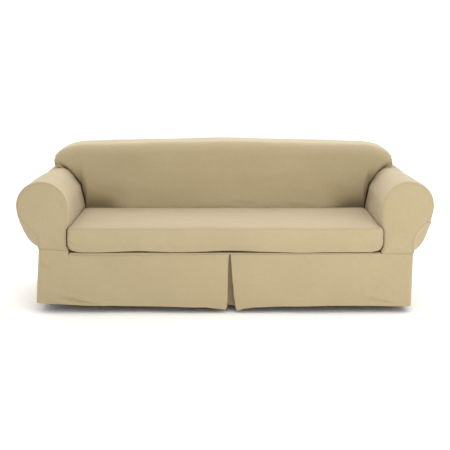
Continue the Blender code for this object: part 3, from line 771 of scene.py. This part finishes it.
def lay_deck():
    """The cloth under the cushion, with its narrow drop to the skirt's seam in front."""
    half, rear = ARM_IN_X - CONTACT_GAP, INSIDE_FOOT_Y - CONTACT_GAP
    rows = []
    for x in steps(-half, half, 110):
        seam = seam_z(x, FRONT_Y) + SEAM_GAP
        row = [(x, FRONT_Y + run, lerp(DECK_Z, seam, drop / EDGE_ROUND))
               for run, drop in round_end(EDGE_ROUND, 5)]
        rows.append(row + [(x, y, DECK_Z) for y in steps(FRONT_Y + EDGE_ROUND, rear, 36)[1:]])

    def relief(points, along, down):
        return puckers(down, along, rise=0.0005)

    lay_cloth("seat_deck", "deck", rows, flat_grain(rows, 0, 1), relief,
              flip=True, tucks=("first column",))


def cushion_loop(inset, front_swell=0.0):
    """The cushion's plan at one inset: four arcs, each followed by a straight run."""
    radius = CUSHION_CORNER - inset
    right, front, rear = CUSHION_X - inset, CUSHION_FRONT_Y + inset, CUSHION_REAR_Y - inset
    loop, arcs = [], []
    for x, y, angle in ((right - radius, front + radius, -pi / 2),
                        (right - radius, rear - radius, 0.0),
                        (-right + radius, rear - radius, pi / 2),
                        (-right + radius, front + radius, pi)):
        arcs.append([(x + radius * cos(a), y + radius * sin(a))
                     for a in steps(angle, angle + pi / 2, 10)])
    for arc, following, count in zip(arcs, arcs[1:] + arcs[:1], (46, 130, 46, 130)):
        (x, y), (next_x, next_y) = arc[-1], following[0]
        loop += arc + [(lerp(x, next_x, t), lerp(y, next_y, t))
                       for t in steps(0.0, 1.0, count)[1:-1]]
    return [(x, y - front_swell * ramp_down(y, -0.38, 0.05)) for x, y in loop]


def bulged(x, y, z):
    """A point of the cushion, moved sideways where it bulges over the arm's front edge."""
    side = "left" if x < 0 else "right"
    return x + SIGN[side] * press(y, z, side) * ramp_up(abs(x), 0.70, 0.09), y, z


def pressed(loop, z_at):
    return [bulged(x, y, z_at(x, y)) for x, y in loop]


def cushion_base_z(x, y):
    """The cushion cover's lower edge lifts off the deck at the middle and the front corners."""
    front = ramp_down(y, -0.30, 0.12)
    lift = 0.008 * hump(x, 0.03, 0.15) + 0.006 * hump(x, -0.45, 0.11)
    lift += 0.007 * ramp_up(abs(x), 0.745, 0.05)
    sag = 0.006 * (hump(x, -0.68, 0.10) + 1.3 * hump(x, 0.40, 0.12)) * ramp_down(y, -0.449, 0.008)
    return CUSHION_BASE_Z + front * lift - sag


def lay_boxing():
    """The strip round the cushion: rolled in at the top seam, turned under at the bottom."""
    rolled, top = round_end(BOXING_ROUND, 6), CUSHION_SEAM_Z - BOXING_ROUND
    rows = [pressed(cushion_loop(inset), lambda x, y: CUSHION_SEAM_Z - run)
            for run, inset in rolled]
    for share in steps(0.0, 1.0, 18)[1:-1]:
        loop = cushion_loop(0.0, BOXING_SWELL * sin(pi * share))
        rows.append(pressed(
            loop, lambda x, y: lerp(top, cushion_base_z(x, y) + BOXING_ROUND, share)))
    rows += [pressed(cushion_loop(inset), lambda x, y: cushion_base_z(x, y) + run)
             for run, inset in rolled[::-1]]
    rows += [pressed(cushion_loop(inset), cushion_base_z) for inset in TURN_UNDER]

    def relief(points, along, down):
        x, y, z = np.moveaxis(points, 2, 0)
        wall = smooth(down / 0.02) * smooth((down[-1:] - 0.030 - down) / 0.02)
        front = ramp_down(y, -0.40, 0.03)
        soft = swells(points, (0.0022, 0.15, 14), (0.0008, 0.05, 15))
        low = 0.0012 * np.sin(along * 60.0 + 2.0 * np.sin(along * 13.0)) * hump(z, 0.322, 0.014)
        creased = soft + low + front * folds(BOXING_FOLDS, x, z)
        return wall * creased + puckers(along, down, rise=0.0008)

    lay_cloth("seat_boxing", "cushion_boxing", rows, wound_grain(rows, 8), relief,
              slot="cotton_duck_seat", flip=True, loop=True,
              tucks=("first row",), tuck_depth=0.007)


def lay_cushion_top():
    """The crowned top panel, inside the boxing's rolled edge."""
    inset = BOXING_ROUND + SEAM_GAP
    radius = CUSHION_CORNER - inset
    half, front, rear = CUSHION_X - inset, CUSHION_FRONT_Y + inset, CUSHION_REAR_Y - inset
    ends = [half - radius * (1 - sin(a)) for a in steps(0.0, pi / 2, 8)]
    middle = steps(-half + radius, half - radius, 130)[1:-1]
    rows = []
    for x in [-x for x in ends[::-1]] + middle + ends:
        into = max(0.0, abs(x) - (half - radius))
        cut = radius - sqrt(max(0.0, radius ** 2 - into ** 2))
        row = []
        for share in [0.0, 0.008, 0.02] + steps(0.04, 0.96, 44) + [0.98, 0.992, 1.0]:
            y = lerp(front + cut, rear - cut, share)
            from_edge = min(half - abs(x), y - front, rear - y)
            rise = 0.6 * sqrt(smooth(from_edge / 0.07)) + 0.4 * smooth(from_edge / 0.28)
            out_x = bulged(x, y, CUSHION_SEAM_Z)[0]
            row.append((out_x, y, CUSHION_SEAM_Z + CUSHION_CROWN * rise))
        rows.append(row)

    def relief(points, along, down):
        x, y = np.moveaxis(points, 2, 0)[:2]
        inner = np.minimum(np.minimum(half - np.minimum(np.abs(x), half), y - front), rear - y)
        soft = swells(points, (0.0026, 0.22, 16), (0.0010, 0.08, 17))
        seam = puckers(x + y, np.maximum(inner, 0.0), rise=0.0009)
        return loose(inner) * (soft + folds(SEAT_FOLDS, x, y)) + seam

    lay_cloth("seat_top", "cushion_top", rows, flat_grain(rows, 0, 1), relief,
              slot="cotton_duck_seat", flip=True,
              tucks=("first column", "last column"), tuck_depth=0.006)


# ---------------- skirt

# Shares of the skirt's drop at which its cloth is laid, and the stretch that makes its swells
# taller than wide
SKIRT_DROP = [0.0, 0.02] + steps(0.05, 0.88, 24) + steps(0.90, 1.0, 9)
UPRIGHT = np.array([1.0, 1.0, 0.5])


def skirt_half(down, side):
    return FOOT_X[side] + SKIRT_FLARE[side] * down


def folded_edge(tip, from_y, to_y, way):
    """A fold in plan: it reaches its tip along X, and goes back the way it came."""
    middle, radius = (from_y + to_y) / 2, abs(to_y - from_y) / 2
    turn = 1.0 if to_y > from_y else -1.0
    return [(tip - way * radius * (1 - cos(a)), middle + turn * radius * sin(a))
            for a in steps(-pi / 2, pi / 2, 10)]


def level(from_x, to_x, y, count):
    """A straight run of the skirt's plan."""
    return [(x, y) for x in steps(from_x, to_x, count)]


def front_plan(down):
    """The front skirt's plan at one height, as (x, y), from the left wrap to the right one."""
    front = FRONT_Y - SKIRT_DROP_OUT * down
    start, end = front + SKIRT_CORNER, FRONT_Y + SKIRT_WRAP
    left, right = -skirt_half(down, "left"), skirt_half(down, "right")
    left_edge, right_edge = (read_table(PLEAT, down, column) for column in (1, 2))
    left_deep, right_deep = left_edge - PLEAT_DEEP, right_edge + PLEAT_DEEP
    turn, under = lerp(*PLEAT_TURN, down), lerp(*PLEAT_UNDER, down)
    plan = [(left, y) for y in steps(end, start, 4)[:-1]]
    plan += [(left + run, front + inset) for run, inset in round_end(SKIRT_CORNER, 10)]
    plan += level(left + SKIRT_CORNER, -HITCH_TO_X, front, 12)[1:]
    plan += level(-HITCH_FROM_X, left_edge - FOLD_REACH, front, 66)
    plan += level(left_edge - FOLD_REACH, left_edge - turn / 2, front, 4)[1:-1]
    plan += folded_edge(left_edge, front, front + turn, 1.0)
    plan += level(left_edge - turn, left_deep + turn, front + turn, 7)[1:-1]
    plan += folded_edge(left_deep, front + turn, front + under, -1.0)
    plan += level(left_deep + under, right_deep - under, front + under, 20)
    plan += folded_edge(right_deep, front + under, front + turn, 1.0)
    plan += level(right_deep - turn, right_edge + turn, front + turn, 7)[1:-1]
    plan += folded_edge(right_edge, front + turn, front, -1.0)
    plan += level(right_edge + turn / 2, right_edge + FOLD_REACH, front, 4)[1:-1]
    plan += level(right_edge + FOLD_REACH, right - SKIRT_CORNER, front, 78)[:-1]
    plan += [(right - inset, front + run) for run, inset in round_end(SKIRT_CORNER, 10)]
    return plan + [(right, y) for y in steps(start, end, 4)[1:]]


def hem_band(apart):
    """The doubled cloth of the hem stands a little proud, to its row of stitches."""
    return 0.0005 * ramp_down(apart, 0.030, 0.004) * smooth(apart / 0.002)


def plain_relief(size, seed):
    """The relief of a skirt without a pleat, from the size of its swells."""
    def relief(points, along, down):
        soft = swells(points * UPRIGHT, (0.0024, size, seed))
        free = loose(down) * loose_inside(along)
        return free * soft + hem_band(down[-1:] - down) + puckers(along, down)
    return relief


def hang_skirt(part, rows, grain, flip, relief):
    """Makes one skirt, and hangs it in its solid's place."""
    down = lengths(np.array(rows, dtype=float), 0)
    lay_cloth("skirt_cloth_" + part, "skirt_" + part, rows, grain, relief,
              flip=flip, tucks=("first row", "first column", "last column"),
              hem=down[-1:] - down)


def lay_skirt_front():
    """The front skirt with its one inverted pleat, round both corners."""
    rows = []
    for down in SKIRT_DROP:
        row = []
        for x, y in front_plan(down):
            behind = max(0.0, y - FRONT_Y + 0.003) * hump(x, 0.03, 0.1)
            hem = read_table(FRONT_HEM, x, 1) + PLEAT_TUCK * behind
            ripple = RIPPLE * down * sin(x * 11.0) * ramp_down(abs(x), 0.90, 0.1)
            seam = seam_z(x, y + SKIRT_DROP_OUT * down)
            row.append((x, y + ripple, lerp(seam, hem, down)))
        rows.append(row)

    def relief(points, along, down):
        x, y, z = np.moveaxis(points, 2, 0)
        shown = ramp_down(y, FRONT_Y + 0.006, 0.006)
        free = loose(down) * loose_inside(along)
        creased = swells(points * UPRIGHT, (0.0022, 0.13, 18)) + folds(SKIRT_FOLDS, x, z)
        return shown * (free * creased + hem_band(down[-1:] - down) + puckers(along, down))

    hang_skirt("front", rows, wound_grain(rows, -1), True, relief)


def lay_skirt_side(side):
    """The side skirt, turned round the rear corner."""
    start, foot = FRONT_Y + SKIRT_WRAP + SEAM_GAP, SIGN[side] * FOOT_X[side]
    front_hem = read_table(FRONT_HEM, foot, 1)
    rows = []
    for down in SKIRT_DROP:
        out, rear = skirt_half(down, side), REAR_Y + SKIRT_DROP_OUT * down
        row = []
        for y, inset in stations(start, rear, 0.0, REAR_ROUND, 72)[ROUND_TURNS:]:
            hem = lerp(front_hem, lerp(front_hem, HEM_Z, 0.5), ramp_up(y, start, 0.3))
            ends = ramp_up(y, start, 0.1) * ramp_down(y, REAR_Y, 0.1)
            ripple = RIPPLE * down * sin(y * 13.0) * ends
            row.append((SIGN[side] * (out - inset + ripple), y, lerp(seam_z(foot, y), hem, down)))
        rows.append(row)
    hang_skirt(side, rows, flat_grain(rows, 1, 2), side == "right",
               plain_relief(0.14, 20 + SIGN[side]))


def lay_skirt_back():
    """The rear skirt, flat under the rear panel."""
    rows = []
    for down in SKIRT_DROP:
        left, right = (skirt_half(down, side) - REAR_ROUND - SEAM_GAP for side in SIDES)
        y = REAR_Y + SKIRT_DROP_OUT * down
        row = []
        for x in steps(-left, right, 150):
            ripple = RIPPLE * down * sin(x * 9.0) * ramp_down(abs(x), 0.9, 0.15)
            hem = HEM_Z + 0.004 * sin(x * 5.0)
            row.append((x, y + ripple, lerp(seam_z(x, REAR_Y), hem, down)))
        rows.append(row)
    hang_skirt("back", rows, flat_grain(rows, 0, 2), False,
               plain_relief(0.15, 23))


# ---------------- finishes

def srgb(code):
    """A hex colour, as a colour picker shows it, as linear red, green, blue and alpha."""
    parts = [int(code.lstrip("#")[i:i + 2], 16) / 255 for i in (0, 2, 4)]
    return tuple(p / 12.92 if p <= 0.04045 else ((p + 0.055) / 1.055) ** 2.4 for p in parts) + (1,)


def add_node(tree, kind, inputs, **settings):
    """Adds a node with its settings. Each of its inputs is a value or another node's socket."""
    node = tree.nodes.new(kind)
    for key, value in settings.items():
        setattr(node, key, value)
    for key, value in inputs.items():
        if isinstance(value, bpy.types.NodeSocket):
            tree.links.new(value, node.inputs[key])
        else:
            node.inputs[key].default_value = value
    return node


def cotton_duck(name, body, shade):
    """Cotton duck: a heavy plain weave of soft, slightly uneven yarn, washed and not shiny. It
    scatters light broadly, and its thicker yarns show as faint level streaks."""
    settings = bpy.context.scene.slipcover_cloth
    made = bpy.data.materials.new(name)
    made.use_nodes = True
    tree = made.node_tree
    shader = tree.nodes["Principled BSDF"]
    for key, value in (("Roughness", 0.92), ("IOR", 1.47), ("Specular IOR Level", 0.22),
                       ("Sheen Weight", 0.32), ("Sheen Roughness", 0.55),
                       ("Sheen Tint", srgb("#FBF3E4"))):
        shader.inputs[key].default_value = value

    def math(operation, *values):
        return add_node(tree, "ShaderNodeMath", dict(enumerate(values)),
                        operation=operation).outputs[0]

    def vector(operation, inputs):
        return add_node(tree, "ShaderNodeVectorMath", inputs, operation=operation).outputs[0]

    def blotches(place, scale, detail, roughness=0.5):
        return add_node(tree, "ShaderNodeTexNoise", {
            "Vector": place, "Scale": scale, "Detail": detail, "Roughness": roughness})

    def streaks(across, down, detail, roughness):
        place = add_node(tree, "ShaderNodeMapping", {
            "Vector": weave, "Scale": (across, down, 1.0)}).outputs[0]
        return blotches(place, 1.0, detail, roughness).outputs["Fac"]

    def mix(factor, a, b):
        return add_node(tree, "ShaderNodeMix", {"Factor": factor, "A": a, "B": b},
                        data_type="RGBA").outputs["Result"]

    weave = add_node(tree, "ShaderNodeUVMap", {}, uv_map="weave").outputs[0]

    # Real duck has about 12 threads to the centimetre. They are drawn at the pitch given in the
    # settings, a few times as coarse, because finer ones don't show from a step away.
    wander = blotches(weave, 60.0, 1.0).outputs["Color"]
    threads = vector("SCALE", {0: weave, "Scale": pi / settings.thread_pitch})
    waves = vector("SINE", {0: vector("ADD", {0: threads, 1: wander})})
    split = add_node(tree, "ShaderNodeSeparateXYZ", {0: waves}).outputs
    over_under = math("MULTIPLY", split[0], split[1])

    # Slubs: yarn that thickens for 20 to 60 mm, one thread high
    slubs = streaks(22.0, 330.0, 3.0, 0.6)
    warp = streaks(300.0, 26.0, 2.0, 0.5)
    worn = blotches(weave, 3.2, 3.0).outputs["Fac"]
    uneven = 0.55 / settings.slub
    tone = add_node(tree, "ShaderNodeMapRange", {
        "Value": math("ADD", math("ADD", slubs, warp), worn),
        "From Min": 1.5 - uneven, "From Max": 1.5 + uneven}).outputs[0]
    colour = mix(tone, srgb(shade), srgb(body))

    # Hem stitches: 3 mm long, 4 mm apart, 28 mm above the hem
    apart = add_node(tree, "ShaderNodeAttribute", {}, attribute_name="hem").outputs["Fac"]
    row = math("COMPARE", apart, 0.028, 0.0011)
    along = add_node(tree, "ShaderNodeSeparateXYZ", {0: weave}).outputs[0]
    dash = math("LESS_THAN", math("PINGPONG", along, 0.002), 0.0015)
    stitch = math("MULTIPLY", row, dash)
    sewn = mix(stitch, colour, srgb(settings.thread_colour))
    tree.links.new(sewn, shader.inputs["Base Color"])

    height = math("SUBTRACT", math("ADD", over_under, slubs), stitch)
    bump = add_node(tree, "ShaderNodeBump", {"Height": height, "Strength": 0.35,
                                             "Distance": 0.0006})
    tree.links.new(bump.outputs[0], shader.inputs["Normal"])
    return made


def finish(slot):
    """The cloth of one of the record's slots, made once."""
    colours = bpy.context.scene.slipcover_colours
    # The seat's colours are a touch lighter than the body's. This is painted light on the lit seat.
    body, shade = {
        "cotton_duck": (colours.body, colours.body_shade),
        "cotton_duck_seat": (colours.seat, colours.seat_shade),
    }[slot]
    name = "khaki_" + slot
    return bpy.data.materials.get(name) or cotton_duck(name, body, shade)


# ---------------- settings

class SlipcoverCloth(bpy.types.PropertyGroup):
    """How the cloth is made and how it lies."""
    thickness: FloatProperty(
        name="Thickness", description="Thickness of the cotton duck",
        default=0.0014, min=0.0005, max=0.004, unit="LENGTH")
    thread_pitch: FloatProperty(
        name="Thread pitch", description="Distance between the drawn threads of the weave",
        default=0.0024, min=0.0006, max=0.006, unit="LENGTH")
    slub: FloatProperty(
        name="Slub", description="How strongly the yarn's unevenness shows in the colour",
        default=1.0, min=0.1, max=3.0, subtype="FACTOR")
    fold_depth: FloatProperty(
        name="Fold depth", description="Depth of the folds, as a share of those in the photograph",
        default=1.0, min=0.0, max=2.0, subtype="FACTOR")
    thread_colour: StringProperty(
        name="Thread", description="Hex colour of the hem's stitches", default="#A39472")


class SlipcoverColours(bpy.types.PropertyGroup):
    """Colours of the cloth, as hex values."""
    body: StringProperty(
        name="Body", description="Body cloth on its lighter yarns", default="#AC9E81")
    body_shade: StringProperty(
        name="Body shade", description="Body cloth on its darker yarns", default="#A19376")
    # The seat cloth is the body cloth made a touch lighter. This is painted light for the seat's
    # top, which is lit from above.
    seat: StringProperty(
        name="Seat", description="Seat cloth on its lighter yarns", default="#AD9F83")
    seat_shade: StringProperty(
        name="Seat shade", description="Seat cloth on its darker yarns", default="#A39579")


class SlipcoverStudio(bpy.types.PropertyGroup):
    """The studio round the cover."""
    key_power: FloatProperty(
        name="Key light", description="Power of the large light above and behind",
        default=50.0, min=0.0, unit="POWER")
    fill_power: FloatProperty(
        name="Fill light", description="Power of the wide light in front",
        default=20.0, min=0.0, unit="POWER")
    sky: FloatProperty(
        name="Surround", description="Strength of the white surround",
        default=1.03, min=0.0, max=4.0)
    floor: StringProperty(
        name="Floor", description="Hex colour of the floor", default="#FDFCFA")


# ---------------- operators

class SLIPCOVER_OT_arm_tops(bpy.types.Operator):
    """Lay the cloth over both inside arms and their rolls"""
    bl_idname = "slipcover.arm_tops"
    bl_label = "Arm tops"

    def execute(self, context):
        for side in SIDES:
            lay_arm_top(side)
        return {"FINISHED"}


class SLIPCOVER_OT_outside_arms(bpy.types.Operator):
    """Hang the outside panel of both arms"""
    bl_idname = "slipcover.outside_arms"
    bl_label = "Outside arms"

    def execute(self, context):
        for side in SIDES:
            lay_outside_arm(side)
        return {"FINISHED"}


class SLIPCOVER_OT_facings(bpy.types.Operator):
    """Set the keyhole facing into the front of both arms"""
    bl_idname = "slipcover.facings"
    bl_label = "Arm facings"

    def execute(self, context):
        for side in SIDES:
            lay_facing(side)
        return {"FINISHED"}


class SLIPCOVER_OT_back(bpy.types.Operator):
    """Stretch the cloth over the back, its crown and ears"""
    bl_idname = "slipcover.back"
    bl_label = "Back cover"

    def execute(self, context):
        lay_inside_back()
        return {"FINISHED"}


class SLIPCOVER_OT_rear_panel(bpy.types.Operator):
    """Hang the plain panel behind the back"""
    bl_idname = "slipcover.rear_panel"
    bl_label = "Rear panel"

    def execute(self, context):
        lay_rear_panel()
        return {"FINISHED"}


class SLIPCOVER_OT_deck(bpy.types.Operator):
    """Lay the deck cloth under the seat cushion"""
    bl_idname = "slipcover.deck"
    bl_label = "Deck"

    def execute(self, context):
        lay_deck()
        return {"FINISHED"}


class SLIPCOVER_OT_cushion(bpy.types.Operator):
    """Make the bench cushion's cover: its boxing and its crowned top"""
    bl_idname = "slipcover.cushion"
    bl_label = "Cushion cover"

    def execute(self, context):
        lay_boxing()
        lay_cushion_top()
        return {"FINISHED"}


class SLIPCOVER_OT_skirt(bpy.types.Operator):
    """Hang the pleated front skirt, the side skirts and the rear skirt"""
    bl_idname = "slipcover.skirt"
    bl_label = "Skirt"

    def execute(self, context):
        lay_skirt_front()
        for side in SIDES:
            lay_skirt_side(side)
        lay_skirt_back()
        return {"FINISHED"}


class SLIPCOVER_OT_studio(bpy.types.Operator):
    """Set the floor, the lights and the camera"""
    bl_idname = "slipcover.studio"
    bl_label = "Studio"

    def execute(self, context):
        settings = context.scene.slipcover_studio
        bpy.ops.object.select_all(action="DESELECT")
        bpy.ops.mesh.primitive_plane_add(size=40.0, location=(0.0, 0.0, FLOOR_Z))
        floor = context.active_object
        floor.name = "studio_floor"
        bpy.ops.object.transform_apply(location=True, rotation=True, scale=True)
        paper = bpy.data.materials.new("matt_studio_paper")
        paper.use_nodes = True
        shader = paper.node_tree.nodes["Principled BSDF"]
        shader.inputs["Base Color"].default_value = srgb(settings.floor)
        shader.inputs["Roughness"].default_value = 0.95
        floor.data.materials.append(paper)

        for name, power, size, place, aim in (
            # name, power, size, place, aim
            ("key_light", settings.key_power, 3.0, (0.2, 2.3, 2.6), (0.0, -0.1, 0.5)),
            ("fill_light", settings.fill_power, 2.2, (1.3, -2.5, 1.2), (0.1, 0.0, 0.35)),
        ):
            bpy.ops.object.light_add(type="AREA", location=place)
            light = context.active_object
            light.name = name
            light.data.energy = power
            light.data.size = size
            light.rotation_euler = (Vector(aim) - Vector(place)).to_track_quat("-Z", "Y").to_euler()

        world = bpy.data.worlds.new("white_surround")
        context.scene.world = world
        world.use_nodes = True
        back = world.node_tree.nodes["Background"]
        back.inputs["Color"].default_value = (1.0, 1.0, 1.0, 1.0)
        back.inputs["Strength"].default_value = settings.sky

        bpy.ops.object.camera_add(location=CAMERA_AT,
                                  rotation=(radians(90 - CAMERA_DOWN), 0.0, 0.0))
        camera = context.active_object
        camera.name = "photo_camera"
        camera.data.sensor_width = 36.0
        camera.data.lens = CAMERA_LENS
        context.scene.camera = camera
        context.scene.view_settings.view_transform = "Standard"
        context.scene.view_settings.look = "Medium High Contrast"
        return {"FINISHED"}


SETTINGS = {"slipcover_cloth": SlipcoverCloth, "slipcover_colours": SlipcoverColours,
            "slipcover_studio": SlipcoverStudio}
PIECES = (SLIPCOVER_OT_arm_tops, SLIPCOVER_OT_outside_arms, SLIPCOVER_OT_facings,
          SLIPCOVER_OT_back, SLIPCOVER_OT_rear_panel, SLIPCOVER_OT_deck,
          SLIPCOVER_OT_cushion, SLIPCOVER_OT_skirt, SLIPCOVER_OT_studio)


class SLIPCOVER_PT_panel(bpy.types.Panel):
    """The slipcover's settings and pieces"""
    bl_idname = "SLIPCOVER_PT_panel"
    bl_label = "Slipcover"
    bl_space_type = "VIEW_3D"
    bl_region_type = "UI"
    bl_category = "Slipcover"

    def draw(self, context):
        for name, group in SETTINGS.items():
            box = self.layout.box()
            for key in group.__annotations__:
                box.prop(getattr(context.scene, name), key)
        for operator in PIECES:
            self.layout.operator(operator.bl_idname)


CLASSES = tuple(SETTINGS.values()) + PIECES + (SLIPCOVER_PT_panel,)


def register():
    for made in CLASSES:
        bpy.utils.register_class(made)
    for name, group in SETTINGS.items():
        setattr(bpy.types.Scene, name, PointerProperty(type=group))


def unregister():
    for name in SETTINGS:
        delattr(bpy.types.Scene, name)
    for made in reversed(CLASSES):
        bpy.utils.unregister_class(made)


def main():
    register()
    bpy.ops.object.select_all(action="DESELECT")
    bpy.ops.slipcover.arm_tops()
    bpy.ops.slipcover.outside_arms()
    bpy.ops.slipcover.facings()
    bpy.ops.slipcover.back()
    bpy.ops.slipcover.rear_panel()
    bpy.ops.slipcover.deck()
    bpy.ops.slipcover.cushion()
    bpy.ops.slipcover.skirt()
    bpy.ops.slipcover.studio()


if __name__ == "__main__":
    main()
